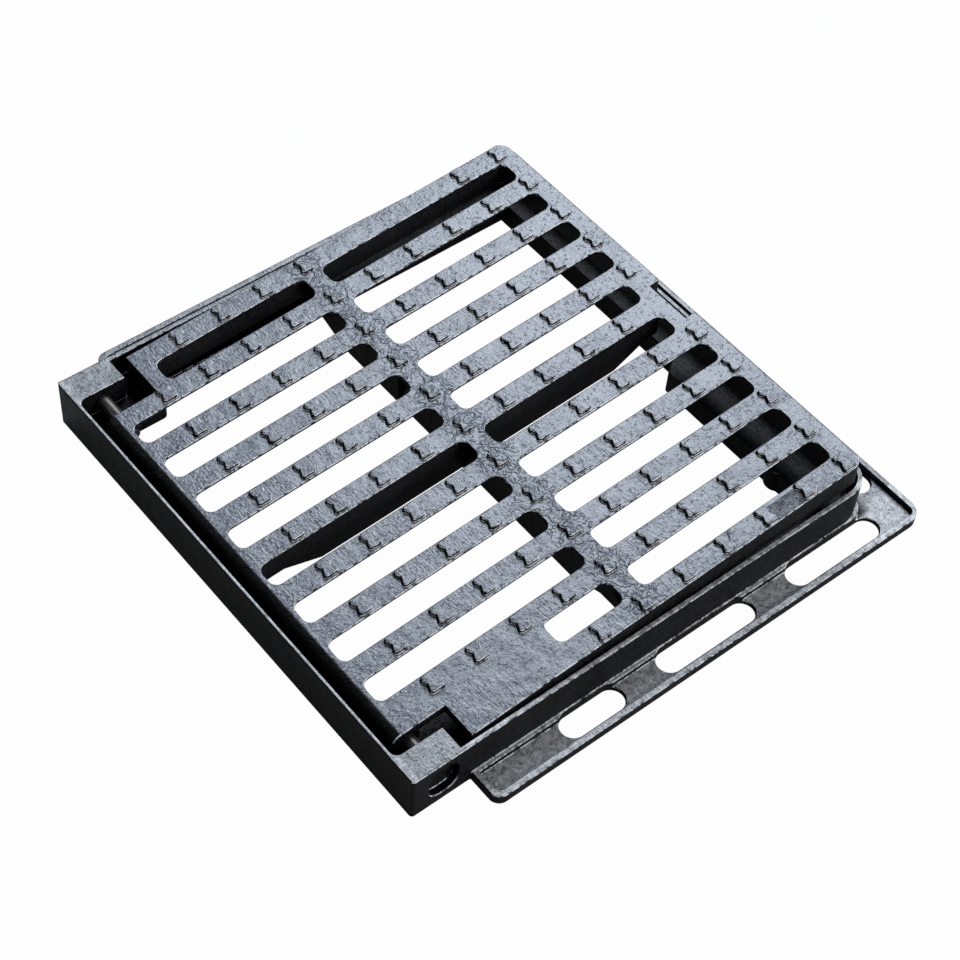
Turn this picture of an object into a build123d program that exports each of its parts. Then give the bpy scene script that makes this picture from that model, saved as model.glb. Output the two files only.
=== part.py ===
from build123d import *

import os

# Hinged gully grate: a cast frame bedded round the gully and a cast grate that turns on two pins.
# Millimetres. +Z is up, and X runs from the hinge wall to the free side.
# The origin is the middle of the whole thing's footprint, on the underside of the frame.

# Frame, outside sizes
frame_length = 400.0  # along the hinge wall, Y
frame_width = 400.0  # hinge wall to the face of the ring on the free side, X
frame_height = 40.0
near_flange = 26.5  # what each flange stands out of the ring
far_flange = 30.5
free_flange = 29.5
wall = 3.8  # ring wall
hinge_wall = 3.0
ring_corner = 22.0

# Flange tray
tray_start = 47.0  # hinge wall to the end of the flanges
tray_floor = 4.0
lip_height = 8.6
lip_width = 4.6
bead_width = 3.1  # raised strip at the foot of the ring
tray_corner = 8.0
tray_free_corner = 12.0
tray_inner_corner = 5.0

# Anchor slots in the tray floor
slot_wide = 18.7
slot_from_ring = 0.9
short_slot = 51.5
long_slot = 84.0
short_slot_share = 0.3485  # slot centres, as shares of the frame's width from the hinge wall
middle_slot_share = 0.59775
end_slot_share = 0.89325
side_slot_at = 55.0  # slots of the free flange, from each end of the frame
side_slot_gap = 5.0  # free ring face to its slots

# Seats inside the frame
seat_gap = 0.3
far_seat = 26.2  # how far each seat stands in from the ring
near_seat = 26.2
free_seat = 22.2
free_seat_wide = 32.2
wide_seat_to = 169.0  # the free seat is wide from the near end to here
seat_step = 10.0
lug_radius = 9.5
lug_at = 59.5
lug_reach = 38.5  # ring face to the lug's round end
sill_wide = 19.0  # low strip along the hinge wall
sill_height = 5.0

# Hinge
near_block_long = 40.0  # along X
near_block_wide = 22.0  # along Y
far_block_long = 40.5
far_block_wide = 23.0
pocket_corner = 5.0
pad_long = 62.7  # pads at the feet of the blocks
far_pad_wide = 41.0
near_pad_wide = 46.0
near_pad_height = 12.0  # clear of the grate's lip as it turns
pad_corner = 4.0
pin_x = 21.5  # hinge wall face to the pin's axis
pin_drop = 11.5  # top of the frame to the pin's axis
pin_radius = 5.4
pin_fit = 0.08  # radial clearance of the pin in its block
pin_grip = 15.0  # length of pin held in the grate
boss_long = 8.0
boss_radius = 10.0
pin_recess = 6.5  # the pin's outer end lies this deep in the block
pin_chamfer = 0.8
mouth_wide = 24.0  # oblong mouth of the pin hole, on the block's outer face
mouth_tall = 26.0
mouth_depth = 6.0
mouth_at = 25.2  # hinge wall face to the mouth's middle
mouth_drop = 7.7  # pin's axis to the mouth's middle
mouth_corner = 9.5

# Grate
grate_near_gap = 5.3  # frame end to the grate's edge
grate_far_gap = 9.0
grate_free_gap = 10.4
grate_free_corner = 9.0
plate = 8.0
rim_depth = 20.0
open_angle = 3.65  # the grate stands this far open
lip_face = 10.0  # hinge wall face to the turned-down lip of the grate
lip_roll = 7.0
lip_drop = 22.0  # top of the grate to the lip's lower edge
notch_long = 50.7  # hinge wall to the end of the notch beside each block
tongue_near = 32.5  # frame end to the tongue's end, where the near pin enters
tongue_far = 47.5

# Slots of the grate
rows = 10
first_row = 31.6  # near frame end to the middle of the nearest row
last_row = 35.76  # far frame end to the middle of the farthest row
water_slot = 19.3
water_corner = 6.0
plate_from = 19.7  # hinge wall face to the plate and its slots
slots_to_ring = 24.8  # end of the slots to the ring's free face
spine_wide = 16.0
spine_off = 0.55  # the spine lies this far past the middle of the slots
label_row_start = 135.8  # the nearest row is short, beside the plain field
far_row_start = 63.2
middle_row_short = 7.2  # the two middle rows end this much sooner
land = 2.2  # upright part of a bar's flank
flare = 40.0  # degrees that the flank leans in below the land

# Ribs under the grate
rib_depth = 33.0
rib_slope = 30.0
spine_from = 45.0  # the spine rib deepens from here, at both ends
cross_from = 40.0  # the cross rib is deep between these two
cross_gap = 42.0  # ring's free face to the deep part of the cross rib
pry_off = 5.45  # the lifting notch lies this far nearer than the middle
pry_long = 38.5
pry_depth = 9.0

# Studs
stud_long = 13.0
stud_margin = 2.03  # side of a stud to the side of its bar
stud_waist = 3.2
stud_corner = 2.2
stud_notch = 1.5
stud_height = 2.6
first_stud = 54.7  # hinge wall to the middle of the first stud
last_stud = 22.2  # middle of the last stud to the ring's free face
stud_columns = 10

# Places worked out from the sizes above
hinge_x = -(frame_width + free_flange) / 2
ring_x = hinge_x + frame_width
free_x = ring_x + free_flange
near_y = near_flange - (frame_length + near_flange + far_flange) / 2
far_y = near_y + frame_length
inner_near = near_y + wall
inner_far = far_y - wall
inner_free = ring_x - wall
seat_top = frame_height - rim_depth - seat_gap
axis_x = hinge_x + pin_x
grate_near = near_y + grate_near_gap
grate_far = far_y - grate_far_gap
grate_free = ring_x - grate_free_gap
underside = frame_height - plate
pin_height = frame_height - pin_drop
plate_start = hinge_x + plate_from
slots_end = ring_x - slots_to_ring
spine_x = (plate_start + slots_end) / 2 + spine_off
spine_start = spine_x - spine_wide / 2
spine_end = spine_x + spine_wide / 2
middle_rows_end = slots_end - middle_row_short
row_pitch = (frame_length - first_row - last_row) / (rows - 1)
bar_wide = row_pitch - water_slot
stud_wide = bar_wide - 2 * stud_margin
stud_pitch = (frame_width - first_stud - last_stud) / (stud_columns - 1)
cross_to = ring_x - cross_gap
pry_y = near_y + frame_length / 2 - pry_off
tongue_from = near_y + tongue_near
tongue_to = far_y - tongue_far
rib_bottom = frame_height - rib_depth
rim_bottom = frame_height - rim_depth


def slab(x0, x1, y0, y1, z0, z1, mode=Mode.ADD):
    """A box between two corners, in the part being built."""
    with Locations(((x0 + x1) / 2, (y0 + y1) / 2, (z0 + z1) / 2)):
        Box(x1 - x0, y1 - y0, z1 - z0, mode=mode)


def flat(x0, x1, y0, y1, mode=Mode.ADD):
    """A rectangle between two corners, in the sketch being drawn."""
    with Locations(((x0 + x1) / 2, (y0 + y1) / 2)):
        Rectangle(x1 - x0, y1 - y0, mode=mode)


def row_y(row):
    """Middle of a water row: row 0 is the nearest, by the plain field."""
    return near_y + first_row + row * row_pitch


def long_bore(y0, y1, radius, mode=Mode.SUBTRACT):
    """A round bar along Y on the hinge axis: a hole, a boss or a pin."""
    with Locations(Location((axis_x, (y0 + y1) / 2, pin_height), (90, 0, 0))):
        Cylinder(radius, y1 - y0, mode=mode)


# Frame
slots_along = [
    (short_slot_share * frame_width, short_slot),
    (middle_slot_share * frame_width, long_slot),
    (end_slot_share * frame_width, long_slot),
]
slot_off = slot_from_ring + slot_wide / 2

with BuildPart() as frame:
    # Tray: floor, then the lip round its three outer sides and the bead at the foot of the ring
    with BuildSketch() as tray:
        flat(hinge_x + tray_start, free_x, near_y - near_flange, far_y + far_flange)
        fillet(tray.vertices().group_by(Axis.X)[0], tray_corner)
        fillet(tray.vertices().group_by(Axis.X)[-1], tray_free_corner)
    extrude(amount=lip_height)
    with BuildSketch(Plane.XY.offset(tray_floor)) as hollow:
        flat(
            hinge_x + tray_start + lip_width,
            free_x - lip_width,
            near_y - near_flange + lip_width,
            far_y + far_flange - lip_width,
        )
        fillet(hollow.vertices(), tray_inner_corner)
        with BuildSketch(mode=Mode.PRIVATE) as bead:
            flat(hinge_x, ring_x + bead_width, near_y - bead_width, far_y + bead_width)
            fillet(bead.vertices().group_by(Axis.X)[-1], ring_corner + bead_width)
        add(bead.sketch, mode=Mode.SUBTRACT)
    extrude(amount=lip_height, mode=Mode.SUBTRACT)

    # Ring and hinge blocks
    with BuildSketch() as ring:
        flat(hinge_x, ring_x, near_y, far_y)
        fillet(ring.vertices().group_by(Axis.X)[-1], ring_corner)
    extrude(amount=frame_height)
    with BuildSketch() as inside:
        flat(
            hinge_x + hinge_wall,
            inner_free,
            near_y + near_block_wide,
            far_y - far_block_wide,
        )
        fillet(inside.vertices().group_by(Axis.X)[0], pocket_corner)
        flat(hinge_x + near_block_long, inner_free, inner_near, near_y + frame_length / 2)
        flat(hinge_x + far_block_long, inner_free, near_y + frame_length / 2, inner_far)
        fillet(inside.vertices().group_by(Axis.X)[-1], ring_corner - wall)
    extrude(amount=frame_height, mode=Mode.SUBTRACT)

    # Seats that carry the rim of the closed grate
    with BuildSketch() as seats:
        flat(hinge_x, ring_x, near_y, far_y)
        fillet(seats.vertices().group_by(Axis.X)[-1], ring_corner)
        flat(
            hinge_x,
            ring_x - free_seat,
            near_y + near_seat,
            far_y - far_seat,
            Mode.SUBTRACT,
        )
        with BuildLine():
            Polyline(
                (ring_x - free_seat, near_y + near_seat),
                (ring_x - free_seat_wide - wall, near_y + near_seat),
                (ring_x - free_seat_wide - wall, near_y + wide_seat_to),
                (ring_x - free_seat, near_y + wide_seat_to + seat_step),
                close=True,
            )
        make_face()
        with Locations((ring_x - lug_reach + lug_radius, near_y + lug_at)):
            Circle(lug_radius)
    extrude(amount=seat_top)
    with BuildSketch() as far_pad:
        flat(hinge_x, hinge_x + pad_long, far_y - far_pad_wide, far_y)
        fillet(far_pad.vertices().group_by(Axis.X)[-1], pad_corner)
    extrude(amount=seat_top)
    with BuildSketch() as near_pad:
        flat(hinge_x, hinge_x + pad_long, near_y, near_y + near_pad_wide)
        fillet(near_pad.vertices().group_by(Axis.X)[-1], pad_corner)
    extrude(amount=near_pad_height)
    slab(hinge_x, hinge_x + sill_wide + hinge_wall, near_y, far_y, 0, sill_height)

    # Pin holes, each with an oblong mouth on the outer face
    long_bore(near_y, near_y + near_block_wide, pin_radius + pin_fit)
    long_bore(far_y - far_block_wide, far_y, pin_radius + pin_fit)
    for face_y, turn in ((near_y, 1), (far_y, -1)):
        mouth_middle = (hinge_x + mouth_at, face_y, pin_height - mouth_drop)
        with BuildSketch(Plane(mouth_middle, (1, 0, 0), (0, turn, 0))) as mouth:
            Rectangle(mouth_wide, mouth_tall)
            fillet(mouth.vertices(), mouth_corner)
        extrude(amount=mouth_depth, mode=Mode.SUBTRACT)

    # Anchor slots
    with BuildSketch() as anchors:
        for side_y, out in ((near_y, -1), (far_y, 1)):
            for middle, length in slots_along:
                with Locations((hinge_x + middle, side_y + out * slot_off)):
                    SlotOverall(length, slot_wide)
        for end_y, inward in ((near_y, 1), (far_y, -1)):
            with Locations((ring_x + side_slot_gap + slot_wide / 2, end_y + inward * side_slot_at)):
                SlotOverall(long_slot, slot_wide, rotation=90)
    extrude(amount=lip_height, mode=Mode.SUBTRACT)
frame.part.label = "frame"

# Grate, drawn closed and then turned open about the pins


def bar_y(bar):
    """Middle of a bar: bar 0 is the near edge, and the last is the far edge."""
    if bar == 0:
        return (grate_near + row_y(0) - water_slot / 2) / 2
    if bar == rows:
        return (grate_far + row_y(rows - 1) + water_slot / 2) / 2
    return row_y(bar - 0.5)


# Bars and columns without a stud
bare_studs = {(0, column) for column in range(3)}
bare_studs |= {(rows, 0)} | {(rows, column) for column in range(5, 8)}
bare_studs |= {(rows // 2, stud_columns - 1)}


def row_ends():
    """Middle, start and end of every slot of the grate."""
    for row in range(rows):
        left_start = plate_start
        if row == 0:
            left_start = hinge_x + label_row_start
        if row == rows - 1:
            left_start = hinge_x + far_row_start
        yield row, left_start, spine_start
        right_end = slots_end
        if row in (rows // 2 - 1, rows // 2):
            right_end = middle_rows_end
        yield row, spine_end, right_end


with BuildPart() as grate_closed:
    # Plate, with its far and near ends cut back beside the hinge
    with BuildSketch(Plane.XY.offset(underside)) as outline:
        flat(plate_start, grate_free, grate_near, grate_far)
        fillet(outline.vertices().group_by(Axis.X)[-1], grate_free_corner)
        flat(plate_start, hinge_x + notch_long, grate_near, tongue_from, Mode.SUBTRACT)
        flat(plate_start, hinge_x + notch_long, tongue_to, grate_far, Mode.SUBTRACT)
    extrude(amount=plate)

    # Slots: an upright land at the top, then flanks that lean in under the bars
    with BuildSketch(Plane.XY.offset(frame_height)) as water:
        for row, start, end in row_ends():
            with Locations(((start + end) / 2, row_y(row))):
                RectangleRounded(end - start, water_slot, water_corner)
    extrude(amount=-land, mode=Mode.SUBTRACT)
    with BuildSketch(Plane.XY.offset(frame_height - land)) as flanks:
        add(water.sketch.moved(Location((0, 0, -land))))
    extrude(amount=-(plate - land), taper=-flare, mode=Mode.SUBTRACT)

    # Rim round three sides
    with BuildSketch(Plane.XY.offset(rim_bottom)) as rim:
        add(outline.sketch.moved(Location((0, 0, rim_bottom - underside))))
        flat(
            plate_start,
            slots_end,
            row_y(0) - water_slot / 2,
            row_y(rows - 1) + water_slot / 2,
            Mode.SUBTRACT,
        )
        flat(plate_start, hinge_x + notch_long, grate_near, grate_far, Mode.SUBTRACT)
    extrude(amount=rim_depth)

    # Spine rib between the two columns, shallow where it crosses the seats
    with BuildSketch(Plane.YZ.offset(spine_start)):
        with BuildLine():
            Polyline(
                (grate_near, frame_height - land),
                (grate_near, rim_bottom),
                (near_y + spine_from, rim_bottom),
                (near_y + spine_from + rib_slope, rib_bottom),
                (far_y - spine_from - rib_slope, rib_bottom),
                (far_y - spine_from, rim_bottom),
                (grate_far, rim_bottom),
                (grate_far, frame_height - land),
                close=True,
            )
        make_face()
    extrude(amount=spine_wide)

    # Cross rib under the middle bar
    with BuildSketch(Plane.XZ.offset(-(bar_y(rows // 2) - bar_wide / 2))):
        with BuildLine():
            Polyline(
                (plate_start, frame_height - land),
                (plate_start, rim_bottom),
                (hinge_x + cross_from, rim_bottom),
                (hinge_x + cross_from + rib_slope, rib_bottom),
                (cross_to - rib_slope, rib_bottom),
                (cross_to, rim_bottom),
                (middle_rows_end, rim_bottom),
                (middle_rows_end, frame_height - land),
                close=True,
            )
        make_face()
    extrude(amount=-bar_wide)

    # Turned-down lip beside the hinge wall, and a boss at each end of it for the pin
    with BuildSketch(Plane.XZ.offset(-tongue_from)) as lip:
        flat(hinge_x + lip_face, plate_start, frame_height - lip_drop, frame_height)
        fillet(lip.vertices().group_by(Axis.Y)[-1].sort_by(Axis.X)[0], lip_roll)
    extrude(amount=-(tongue_to - tongue_from))
    long_bore(tongue_from, tongue_from + boss_long, boss_radius, Mode.ADD)
    long_bore(tongue_to - boss_long, tongue_to, boss_radius, Mode.ADD)
    long_bore(tongue_from, tongue_from + pin_grip, pin_radius)
    long_bore(tongue_to - pin_grip, tongue_to, pin_radius)

    # Notch for the lifting bar
    slab(
        grate_free - pry_depth,
        grate_free,
        pry_y - pry_long / 2,
        pry_y + pry_long / 2,
        rim_bottom,
        frame_height,
        Mode.SUBTRACT,
    )

    # Studs, with a notch in each end, on every bar but where the plain fields are
    with BuildSketch(mode=Mode.PRIVATE) as stud:
        Polygon(
            (-stud_long / 2, -stud_wide / 2),
            (stud_long / 2, -stud_wide / 2),
            (stud_long / 2 - stud_waist, 0),
            (stud_long / 2, stud_wide / 2),
            (-stud_long / 2, stud_wide / 2),
            (-stud_long / 2 + stud_waist, 0),
            align=None,
        )
        along = stud.vertices().group_by(Axis.Y)
        fillet(along[0] + along[2], stud_corner)
        fillet(stud.vertices().filter_by_position(Axis.Y, 0, 0), stud_notch)
    with BuildSketch(Plane.XY.offset(frame_height)):
        for bar in range(rows + 1):
            for column in range(stud_columns):
                if (bar, column) not in bare_studs:
                    with Locations((hinge_x + first_stud + column * stud_pitch, bar_y(bar))):
                        add(stud.sketch)
    extrude(amount=stud_height)

with BuildPart() as grate:
    with Locations((axis_x, 0, pin_height)):
        add(
            grate_closed.part.moved(Location((-axis_x, 0, -pin_height))),
            rotation=(0, -open_angle, 0),
        )
grate.part.label = "grate"

# Hinge pins, driven into the bosses and free to turn in the blocks
with BuildPart() as near_pin:
    long_bore(near_y + pin_recess, tongue_from + pin_grip, pin_radius, Mode.ADD)
    chamfer(near_pin.edges(), pin_chamfer)
near_pin.part.label = "hinge_pin_near"

with BuildPart() as far_pin:
    long_bore(tongue_to - pin_grip, far_y - pin_recess, pin_radius, Mode.ADD)
    chamfer(far_pin.edges(), pin_chamfer)
far_pin.part.label = "hinge_pin_far"

os.makedirs("parts", exist_ok=True)
for piece in (frame, grate, near_pin, far_pin):
    export_step(piece.part, "parts/" + piece.part.label + ".step")
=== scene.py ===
from math import cos, radians, sin

import bmesh
import bpy
from mathutils import Matrix, Vector


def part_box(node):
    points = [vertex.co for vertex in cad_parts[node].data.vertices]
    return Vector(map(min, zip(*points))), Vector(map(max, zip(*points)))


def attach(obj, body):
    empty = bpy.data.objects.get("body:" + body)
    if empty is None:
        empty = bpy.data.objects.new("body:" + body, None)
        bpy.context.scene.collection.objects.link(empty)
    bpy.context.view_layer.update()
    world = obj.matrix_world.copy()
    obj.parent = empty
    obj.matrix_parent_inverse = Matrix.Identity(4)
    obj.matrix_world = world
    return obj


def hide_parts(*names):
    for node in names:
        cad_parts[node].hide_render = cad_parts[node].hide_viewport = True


MM = 0.001

# Camera, worked out from the straight edges of the grate in the photograph
CAMERA_AZIMUTH = radians(227.0)  # from +X towards +Y, to the camera
CAMERA_ELEVATION = radians(51.05)
CAMERA_ROLL = radians(5.22)
CAMERA_DISTANCE = 1.542
CAMERA_TARGET = Vector((-11.1, -18.0, 0.0)) * MM
CAMERA_LENS = 83.0  # millimetres
CAMERA_FILM = 36.0  # width of the film in millimetres

# Stage
FLOOR_SIZE = 6.0
FLOOR_DROP = 0.5 * MM  # from the underside of the frame down to the floor
FLOOR_GREY = (0.34, 0.34, 0.345)  # as the light finds it
FLOOR_WHITE = 0.98  # share of pure white that the camera sees, the rest being shadow
FLOOR_MIRRORED = 0.1  # share of pure white that shiny paint mirrors
ROOM_BLUE = (0.80, 0.88, 1.0)
ROOM_STRENGTH = 0.14
SKY_BLUE = (0.84, 0.915, 1.0)
WHITE = (1.0, 1.0, 1.0)

# Castings
ROUNDING = 0.8 * MM  # radius of a casting's edges
BLOCK_ROUNDING = 2.6 * MM  # upright corners of the two hinge blocks
BLOCK_CORNER_SHARE = 0.9  # of the frame's height, which such a corner has at least
AT_WALL = 0.1 * MM  # a point closer to the hinge wall's outer face lies on it
SPIKE = 1.6 * ROUNDING  # a point that lies farther off the CAD form is a fault of the rounding
CUT_SPACING = 12.0 * MM  # large faces are cut into squares of this size
FIRST_CUT = 0.37 * CUT_SPACING  # from a casting's edge to the first cut
MERGE_DISTANCE = 0.02 * MM  # points closer than this are one point
FLAT_ANGLE = radians(2.0)  # faces that turn by less than this are one face
SHARP_ANGLE = radians(28.0)  # edges that turn by more than this are rounded
SMOOTH_ANGLE = radians(50.0)  # edges that turn by less than this are shaded smooth

# Paint
PAINT_RELIEF = 0.5 * MM  # how far a height of 1 stands out
HINGE_WRINKLES = 0.35  # strength beside the hinge, with 1 along the spine
FRAME_WRINKLES = 0.15  # strength on the frame, with 1 on the grate
SIDE_ROUGHNESS, SIDE_GLOSS = 0.4, 0.08
TOP_ROUGHNESS, TOP_GLOSS = 0.32, 0.45
# The side coats' blacks, with painted light and shade by the way a face looks
DEEP_BLACK = (0.0015, 0.0015, 0.002)
NEAR_LIT_BLACK = (0.014, 0.014, 0.016)  # painted light, ragged, on the faces towards the near side
AWAY_FILL_BLACK = (0.03, 0.031, 0.035)  # painted fill light on the far side, the free side and the underside
# painted highlight on the upper edges that face the near side
EDGE_HIGHLIGHT_GREY = (0.62, 0.63, 0.65)
# painted highlight on the frame's near rims, and painted light on its near floor
RIM_HIGHLIGHT_GREY = (0.5, 0.51, 0.53)
# The top coats' greys are painted light, standing in for the sheen of the black paint under the lamps
FRAME_SHEEN_DARK, FRAME_SHEEN_LIGHT = (0.045, 0.047, 0.053), (0.155, 0.16, 0.173)
GRATE_SHEEN_DARK, GRATE_SHEEN_LIGHT = (0.03, 0.036, 0.053), (0.13, 0.141, 0.166)
PIN_DARK, PIN_LIGHT = (0.012, 0.012, 0.013), (0.05, 0.045, 0.038)

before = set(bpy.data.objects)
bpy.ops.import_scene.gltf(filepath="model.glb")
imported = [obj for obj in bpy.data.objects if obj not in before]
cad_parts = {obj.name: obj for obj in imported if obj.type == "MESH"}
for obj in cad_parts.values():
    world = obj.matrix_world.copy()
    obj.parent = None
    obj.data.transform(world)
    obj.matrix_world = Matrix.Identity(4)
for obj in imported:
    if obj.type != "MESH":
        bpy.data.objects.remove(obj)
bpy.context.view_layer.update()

wall_side, near_side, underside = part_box("frame")[0]
free_side, _, frame_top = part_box("frame")[1]

# Where the paint and its painted light and shade change: a mask is 0 at the first place of a pair and 1
# at the second
FLANGES_X = (wall_side + 43.75 * MM, wall_side + 46.75 * MM)  # past the hinge blocks
UPPER_RING_Z = (frame_top - 18.0 * MM, frame_top - 10.0 * MM)
RING_TOP_Z = (frame_top - 4.0 * MM, frame_top - 2.0 * MM)
FREE_FLOOR_X = (free_side - 34.75 * MM, free_side - 17.75 * MM)
NEAR_FLOOR_Y = (near_side + 29.5 * MM, near_side + 20.5 * MM)
NEAR_RING_Y = (near_side + 34.5 * MM, near_side + 30.0 * MM)
NEAR_RIMS_X = (wall_side + 36.75 * MM, wall_side + 48.75 * MM)
WALL_EDGE_X = (wall_side + 6.75 * MM, wall_side + 2.75 * MM)
HINGE_BAR_X = (wall_side + 49.75 * MM, wall_side + 36.75 * MM)

# And a band is 0 at the first place, 1 from the second to the third, and 0 at the fourth
FLOOR_Z = (underside + 2.5 * MM, underside + 3.5 * MM, underside + 5.0 * MM, underside + 6.0 * MM)
LIP_Z = (underside + 6.0 * MM, underside + 7.6 * MM, underside + 9.6 * MM, underside + 11.0 * MM)
SPINE_X = -16.75 * MM  # middle of the bar between the two columns of slots
SPINE_BAND_X = (SPINE_X - 19.0 * MM, SPINE_X - 9.0 * MM, SPINE_X + 9.0 * MM, SPINE_X + 19.0 * MM)


# Meshes


def only(piece):
    """Selects this piece alone and makes it the active one."""
    bpy.ops.object.select_all(action="DESELECT")
    piece.select_set(True)
    bpy.context.view_layer.objects.active = piece


def apply_modifier(piece, kind, **settings):
    """Adds a modifier with these settings and applies it."""
    only(piece)
    modifier = piece.modifiers.new(kind.title(), kind)
    for key, value in settings.items():
        setattr(modifier, key, value)
    bpy.ops.object.modifier_apply(modifier=modifier.name)


def merge_triangles():
    """Joins the loose triangles of a CAD mesh into whole faces, in edit mode."""
    bpy.ops.mesh.select_all(action="SELECT")
    bpy.ops.mesh.remove_doubles(threshold=MERGE_DISTANCE)
    bpy.ops.mesh.dissolve_limited(angle_limit=FLAT_ANGLE)


def round_block_corners(piece):
    """Rounds the upright corners of the frame at the ends of the hinge wall, in edit mode."""
    near_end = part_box("hinge_pin_near")[0].y
    far_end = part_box("hinge_pin_far")[1].y
    bpy.ops.mesh.select_mode(type="EDGE")
    bpy.ops.mesh.select_all(action="DESELECT")
    mesh = bmesh.from_edit_mesh(piece.data)
    for edge in mesh.edges:
        first, second = edge.verts[0].co, edge.verts[1].co
        upright = abs(first.z - second.z) > BLOCK_CORNER_SHARE * (frame_top - underside)
        at_wall = abs(first.x - wall_side) < AT_WALL
        past_pins = first.y < near_end or first.y > far_end
        edge.select = upright and at_wall and past_pins
    bmesh.update_edit_mesh(piece.data)
    bpy.ops.mesh.bevel(offset=BLOCK_ROUNDING, segments=4, affect="EDGES")


def pull_back_spikes(piece, node):
    """Puts each point that the rounding threw off the casting back on it."""
    for vertex in piece.data.vertices:
        found, near, _, _ = node.closest_point_on_mesh(vertex.co)
        if found and (near - vertex.co).length > SPIKE:
            vertex.co = near


def cut_into_squares(piece):
    """Cuts the large faces across both ways, so that their shading stays even, in edit mode."""
    low, high = Vector(piece.bound_box[0]), Vector(piece.bound_box[6])
    for axis in (0, 1):
        normal = Vector((0.0, 0.0, 0.0))
        normal[axis] = 1.0
        place = low[axis] + FIRST_CUT
        while place < high[axis]:
            bpy.ops.mesh.select_all(action="SELECT")
            bpy.ops.mesh.bisect(plane_co=normal * place, plane_no=normal)
            place += CUT_SPACING


def casting(name, node, body, paint):
    """The skin of a casting: the node's form, with its edges rounded as a sand mould leaves them."""
    piece = bpy.data.objects.new(name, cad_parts[node].data.copy())
    bpy.context.scene.collection.objects.link(piece)
    piece.data.materials.clear()
    only(piece)
    bpy.ops.object.mode_set(mode="EDIT")
    merge_triangles()
    if node == "frame":
        round_block_corners(piece)
    bpy.ops.object.mode_set(mode="OBJECT")
    apply_modifier(
        piece,
        "BEVEL",
        width=ROUNDING,
        segments=2,
        limit_method="ANGLE",
        angle_limit=SHARP_ANGLE,
        use_clamp_overlap=False,
    )
    pull_back_spikes(piece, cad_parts[node])
    only(piece)
    bpy.ops.object.mode_set(mode="EDIT")
    cut_into_squares(piece)
    bpy.ops.object.mode_set(mode="OBJECT")
    bpy.ops.object.shade_smooth_by_angle(angle=SMOOTH_ANGLE)
    apply_modifier(piece, "WEIGHTED_NORMAL", keep_sharp=True, weight=100)
    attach(piece, body)
    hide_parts(node)
    piece.data.materials.append(paint)


# Shader nodes


class Wire:
    """A node's output that can be written into sums."""

    def __init__(self, shader, socket):
        self.shader = shader
        self.socket = socket

    def _math(self, operation, first, second):
        return self.shader.node("ShaderNodeMath", {"operation": operation}, {0: first, 1: second})

    def __add__(self, other):
        return self._math("ADD", self, other)

    __radd__ = __add__

    def __mul__(self, other):
        return self._math("MULTIPLY", self, other)

    __rmul__ = __mul__

    def __sub__(self, other):
        return self._math("SUBTRACT", self, other)

    def __rsub__(self, other):
        return self._math("SUBTRACT", other, self)

    def __neg__(self):
        return self._math("SUBTRACT", 0.0, self)


class Shader:
    """The nodes of a material or of the world, while they are wired up."""

    def __init__(self, owner):
        self.owner = owner
        owner.use_nodes = True
        self.tree = owner.node_tree
        self.tree.nodes.clear()

    def node(self, kind, settings=None, inputs=None, output=0):
        """Adds a node: its settings first, then its sockets, and gives one of its outputs."""
        made = self.tree.nodes.new(kind)
        for key, value in (settings or {}).items():
            setattr(made, key, value)
        for key, value in (inputs or {}).items():
            if isinstance(value, Wire):
                self.tree.links.new(value.socket, made.inputs[key])
            else:
                made.inputs[key].default_value = value
        return Wire(self, made.outputs[output]) if made.outputs else None

    def parts(self, vector):
        """The x, y and z of a vector."""
        return [self.node("ShaderNodeSeparateXYZ", {}, {0: vector}, output) for output in range(3)]

    def ramp(self, value, low, high):
        """0 at low, 1 at high, and smooth between."""
        return self.node(
            "ShaderNodeMapRange",
            {"interpolation_type": "SMOOTHSTEP"},
            {"Value": value, "From Min": low, "From Max": high},
        )

    def band(self, value, start, full, fading, end):
        """1 from full to fading, and 0 before start and past end."""
        return self.ramp(value, start, full) - self.ramp(value, fading, end)

    def noise(self, place, scale, detail, roughness=0.55, distortion=0.0):
        """Cloudy noise, about 0.5 on average."""
        return self.node(
            "ShaderNodeTexNoise",
            {},
            {
                "Vector": place,
                "Scale": scale,
                "Detail": detail,
                "Roughness": roughness,
                "Distortion": distortion,
            },
        )

    def stretched(self, place, turn, scale):
        """Coordinates turned about Z by this many degrees and stretched, for marks that run one way."""
        return self.node(
            "ShaderNodeMapping",
            {},
            {"Vector": place, "Rotation": (0.0, 0.0, radians(turn)), "Scale": scale},
        )

    def mix(self, share, first, second):
        """A colour between two."""
        colors = [value if isinstance(value, Wire) else (*value, 1.0) for value in (first, second)]
        return self.node(
            "ShaderNodeMix", {"data_type": "RGBA"}, {0: share, 6: colors[0], 7: colors[1]}, output=2
        )

    def finish(self, surface, kind="ShaderNodeOutputMaterial"):
        """Links the surface to the output and gives the material or world."""
        self.node(kind, {}, {"Surface": surface})
        return self.owner


# Materials


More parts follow.
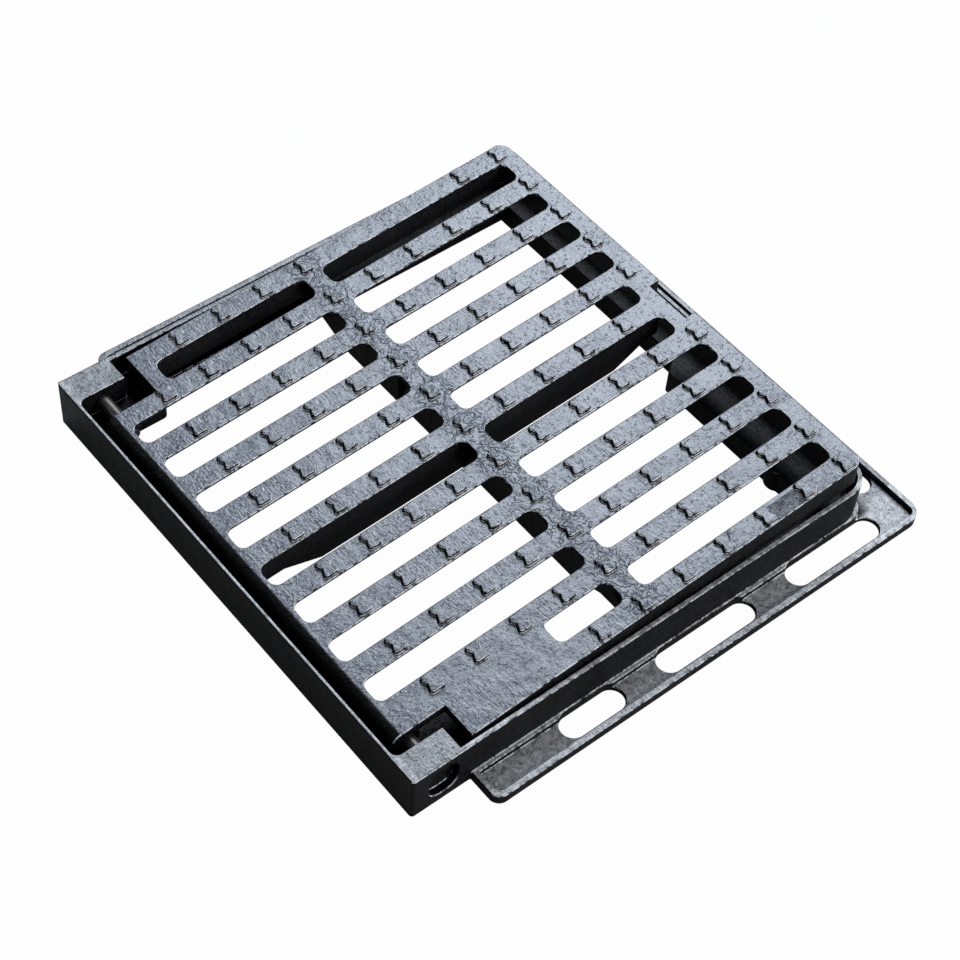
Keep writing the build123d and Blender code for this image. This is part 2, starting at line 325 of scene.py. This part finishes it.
class CastPaint(Shader):
    """Black paint on sand-cast iron. Its faces that look up get a bluish grey top coat, a painted sheen
    of the light from above, and its sides stay nearly black.
    """

    def __init__(self, name):
        super().__init__(bpy.data.materials.new(name))
        self.place = self.node("ShaderNodeTexCoord", output="Object")
        self.x, self.y, self.z = self.parts(self.place)
        facing = self.node("ShaderNodeTexCoord", output="Normal")
        self.sideways, self.forward, self.upward = self.parts(facing)
        self.grain = self.noise(self.place, 1300.0, detail=2.0, roughness=0.7)
        self.sand = self.noise(self.place, 520.0, detail=1.5, roughness=0.6)
        self.flecks = self.noise(self.place, 230.0, detail=4.0, roughness=0.7)
        self.cloud = self.noise(self.place, 26.0, detail=3.0, roughness=0.5)
        self.pits = self.ramp(self.noise(self.place, 330.0, detail=1.0, roughness=0.5), 0.37, 0.29)
        self.speckle = self.ramp(self.sand * 0.5 + self.grain * 0.5, 0.42, 0.58)

    def looks(self, way):
        """1 on the faces that look this way, and 0 on those that look across it or away."""
        return self.ramp(way, 0.5, 0.9)

    def wrinkles(self):
        """Wrinkled thick paint on the bar between the slots and, weaker, beside the hinge."""
        vein = self.noise(self.place, 95.0, detail=1.0, roughness=0.5, distortion=1.2)
        hinge_bar = self.ramp(self.x, *HINGE_BAR_X) * HINGE_WRINKLES
        bars = self.band(self.x, *SPINE_BAND_X) + hinge_bar
        thick = self.ramp(bars, 0.0, 1.0) * self.ramp(self.upward, 0.6, 0.9)
        return self.band(vein, 0.38, 0.49, 0.51, 0.62) * thick

    def relief(self, wrinkling):
        """Bumps: sand, pits, a wavy skin, marks where the paint ran, and its wrinkles."""
        wave = self.noise(self.place, 90.0, detail=2.0, roughness=0.4)
        runny = self.ramp(self.noise(self.place, 16.0, detail=2.0, roughness=0.5), 0.42, 0.56)
        slanted = self.stretched(self.place, turn=28.0, scale=(1.0, 0.3, 1.0))
        runs = self.noise(slanted, 300.0, detail=1.0, roughness=0.45, distortion=1.5) * runny
        height = self.grain * 0.2 + self.sand * 0.42 + runs * 0.9 + wave * 1.8 - self.pits * 0.45
        height = height + self.wrinkles() * wrinkling * 1.1
        return self.node(
            "ShaderNodeBump", {}, {"Height": height, "Strength": 1.0, "Distance": PAINT_RELIEF}
        )

    def painted_edge_highlights(self):
        """1 in flecks along the upper edges that face the near side, where highlights are painted."""
        slopes = self.ramp(self.upward, 0.2, 0.45) * (1.0 - self.ramp(self.upward, 0.9, 0.995))
        near_slopes = slopes * self.ramp(-self.forward, 0.08, 0.3)
        return near_slopes * self.ramp(self.flecks, 0.38, 0.56)

    def side_color(self):
        """Black, with painted light: a little lighter in ragged patches on the faces towards the near
        side, and on hidden faces.
        """
        ragged = self.ramp(self.cloud * 0.6 + self.speckle * 0.4, 0.3, 0.7)
        color = self.mix(self.looks(-self.forward) * ragged, DEEP_BLACK, NEAR_LIT_BLACK)
        away = self.looks(self.forward) + self.looks(self.sideways) + self.looks(-self.upward)
        return self.mix(away, color, AWAY_FILL_BLACK)

    def top_color(self, dark, light):
        """Cloudy and speckled grey, the painted sheen of the tops, with painted shade in the pits."""
        cloudy = self.ramp(self.cloud * 0.55 + self.speckle * 0.45, 0.15, 0.85)
        return self.mix(cloudy * (1.0 - self.pits * 0.8), dark, light)

    def coat(self, color, roughness, gloss, bump):
        """One layer of paint."""
        inputs = {
            "Base Color": color,
            "Roughness": roughness,
            "Specular IOR Level": gloss,
            "Normal": bump,
        }
        return self.node("ShaderNodeBsdfPrincipled", {}, inputs)

    def finish_casting(self, top_color, sky_lit, wrinkling):
        """Puts the top coat, painted light, on what faces up and is painted as lit from above, and
        black on the rest, with painted shade on the slopes that turn towards -X.
        """
        bump = self.relief(wrinkling)
        # Painted highlights on the near upper edges, which also take away the top coat there
        edge_highlights = self.painted_edge_highlights()
        side_color = self.mix(edge_highlights, self.side_color(), EDGE_HIGHLIGHT_GREY)
        side = self.coat(side_color, SIDE_ROUGHNESS + self.sand * 0.16, SIDE_GLOSS, bump)
        top = self.coat(top_color, TOP_ROUGHNESS + self.sand * 0.12, TOP_GLOSS, bump)
        # Painted shade: slopes that turn towards -X keep the black side coat
        lit_faces = self.ramp(self.upward, 0.68, 0.985) * (1.0 - self.ramp(-self.sideways, 0.05, 0.22))
        share = lit_faces * sky_lit * (1.0 - edge_highlights)
        return self.finish(self.node("ShaderNodeMixShader", {}, {0: share, 1: side, 2: top}))


def painted_sky_light(paint):
    """1 on the parts of the frame that are painted as lit from above and get the grey top coat, 0 on
    its floors painted in shade, and the near floor fades into painted shadow towards the ring.
    """
    upper_ring = paint.ramp(paint.z, *UPPER_RING_Z)
    flanges = paint.band(paint.z, *LIP_Z) + paint.ramp(paint.y, *NEAR_FLOOR_Y)
    flanges = flanges * paint.ramp(paint.x, *FLANGES_X)
    free_floor = paint.ramp(paint.x, *FREE_FLOOR_X)
    return paint.ramp(upper_ring + flanges + free_floor, 0.0, 1.0)


def painted_rim_highlights(paint):
    """1 where highlights are painted on the frame: its near flange, with painted light on its floor,
    its near ring and its hinge wall top.
    """
    ring_top = paint.ramp(paint.z, *RING_TOP_Z)
    levels = ring_top + paint.band(paint.z, *LIP_Z) + paint.band(paint.z, *FLOOR_Z) * 0.8
    near = paint.ramp(paint.y, *NEAR_RING_Y) * paint.ramp(paint.x, *NEAR_RIMS_X)
    return levels * near + ring_top * paint.ramp(paint.x, *WALL_EDGE_X) * 0.6


def frame_paint():
    """The frame's paint, with painted highlights in flecks on its near rims."""
    paint = CastPaint("frame_paint")
    # Painted highlights and painted light on the near rims and floor, in flecks
    rim_highlights = painted_rim_highlights(paint) * paint.ramp(paint.flecks, 0.3, 0.68) * 0.7
    top_color = paint.mix(rim_highlights, paint.top_color(FRAME_SHEEN_DARK, FRAME_SHEEN_LIGHT), RIM_HIGHLIGHT_GREY)
    return paint.finish_casting(top_color, painted_sky_light(paint), FRAME_WRINKLES)


def grate_paint():
    """The grate's paint, whose painted sheen is bluer, wrinkled along the spine, and painted as lit
    from above all over.
    """
    paint = CastPaint("grate_paint")
    top_color = paint.top_color(GRATE_SHEEN_DARK, GRATE_SHEEN_LIGHT)
    return paint.finish_casting(top_color, sky_lit=1.0, wrinkling=1.0)


def pin_paint():
    """Scratched paint on a turned steel pin."""
    shader = Shader(bpy.data.materials.new("pin_steel"))
    place = shader.node("ShaderNodeTexCoord", output="Object")
    along_pin = shader.stretched(place, turn=0.0, scale=(1.0, 0.08, 1.0))
    scratches = shader.noise(along_pin, 900.0, detail=2.0)
    bump = shader.node(
        "ShaderNodeBump", {}, {"Height": scratches, "Strength": 0.3, "Distance": 0.1 * MM}
    )
    inputs = {
        "Base Color": shader.mix(shader.ramp(scratches, 0.35, 0.7), PIN_DARK, PIN_LIGHT),
        "Roughness": 0.3 + scratches * 0.15,
        "Metallic": 0.4,
        "Normal": bump,
    }
    return shader.finish(shader.node("ShaderNodeBsdfPrincipled", {}, inputs))


def paint_pins():
    """Gives both pins, which are the CAD nodes themselves, the same paint."""
    paint = pin_paint()
    for pin in ("hinge_pin_near", "hinge_pin_far"):
        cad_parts[pin].data.materials.clear()
        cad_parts[pin].data.materials.append(paint)


# Stage


def pale_floor():
    """White to the camera with a trace of shadow, and pale to the light."""
    shader = Shader(bpy.data.materials.new("pale_floor"))
    camera_ray = shader.node("ShaderNodeLightPath", output="Is Camera Ray")
    glossy_ray = shader.node("ShaderNodeLightPath", output="Is Glossy Ray")
    clear_ray = shader.node("ShaderNodeLightPath", output="Is Transmission Ray")
    matte = shader.node("ShaderNodeBsdfDiffuse", {}, {"Color": (*FLOOR_GREY, 1.0)})
    white = shader.node("ShaderNodeEmission", {}, {"Strength": 1.0})
    seen = camera_ray * FLOOR_WHITE + glossy_ray * FLOOR_MIRRORED + clear_ray * FLOOR_WHITE
    return shader.finish(shader.node("ShaderNodeMixShader", {}, {0: seen, 1: matte, 2: white}))


def build_floor():
    """A wide floor just under the frame."""
    bpy.ops.mesh.primitive_plane_add(size=FLOOR_SIZE, location=(0.0, 0.0, -FLOOR_DROP))
    floor = bpy.context.object
    floor.name = "floor"
    floor.data.materials.append(pale_floor())


def build_room():
    """White to the camera, and a dim bluish light on everything else."""
    shader = Shader(bpy.data.worlds.new("studio"))
    camera_ray = shader.node("ShaderNodeLightPath", output="Is Camera Ray")
    dim_inputs = {"Color": (*ROOM_BLUE, 1.0), "Strength": ROOM_STRENGTH}
    dim = shader.node("ShaderNodeBackground", {}, dim_inputs)
    white = shader.node("ShaderNodeBackground", {}, {"Color": (*WHITE, 1.0)})
    mixed = shader.node("ShaderNodeMixShader", {}, {0: camera_ray, 1: dim, 2: white})
    bpy.context.scene.world = shader.finish(mixed, "ShaderNodeOutputWorld")


def direction(azimuth, elevation):
    """The unit vector that way, with the azimuth measured from +X towards +Y."""
    return Vector((cos(elevation) * cos(azimuth), cos(elevation) * sin(azimuth), sin(elevation)))


def softbox(name, azimuth, elevation, distance, size, power, color):
    """A soft rectangular lamp that looks at the middle of the object. Its angles are in degrees."""
    way = direction(radians(azimuth), radians(elevation))
    lamp = bpy.data.lights.new(name, "AREA")
    lamp.shape = "RECTANGLE"
    lamp.size, lamp.size_y = size
    lamp.energy = power
    lamp.color = color
    holder = bpy.data.objects.new(name, lamp)
    bpy.context.scene.collection.objects.link(holder)
    holder.location = way * distance
    holder.rotation_euler = (-way).to_track_quat("-Z", "Y").to_euler()


def build_camera():
    """The camera, turned about its own line of sight by the roll."""
    way = direction(CAMERA_AZIMUTH, CAMERA_ELEVATION)
    right = (-way).cross(Vector((0.0, 0.0, 1.0))).normalized()
    up = right.cross(-way)
    turned_right = cos(CAMERA_ROLL) * right + sin(CAMERA_ROLL) * up
    turned_up = cos(CAMERA_ROLL) * up - sin(CAMERA_ROLL) * right
    data = bpy.data.cameras.new("camera")
    data.lens = CAMERA_LENS
    data.sensor_width = CAMERA_FILM
    camera = bpy.data.objects.new("camera", data)
    bpy.context.scene.collection.objects.link(camera)
    turn = Matrix((turned_right, turned_up, way)).transposed().to_4x4()
    camera.matrix_world = Matrix.Translation(CAMERA_TARGET + way * CAMERA_DISTANCE) @ turn
    bpy.context.scene.camera = camera


build_camera()
build_floor()
build_room()
softbox("sky_softbox", 43.0, 50.0, distance=2.4, size=(1.25, 1.05), power=88.0, color=SKY_BLUE)
softbox("back_softbox", 118.0, 24.0, distance=2.4, size=(1.2, 0.8), power=14.0, color=WHITE)
softbox("right_softbox", -62.0, 34.0, distance=2.2, size=(1.2, 0.8), power=33.0, color=WHITE)

casting("frame_casting", "frame", "frame", frame_paint())
casting("grate_casting", "grate", "grate", grate_paint())
paint_pins()

scene = bpy.context.scene
scene.view_settings.view_transform = "Standard"
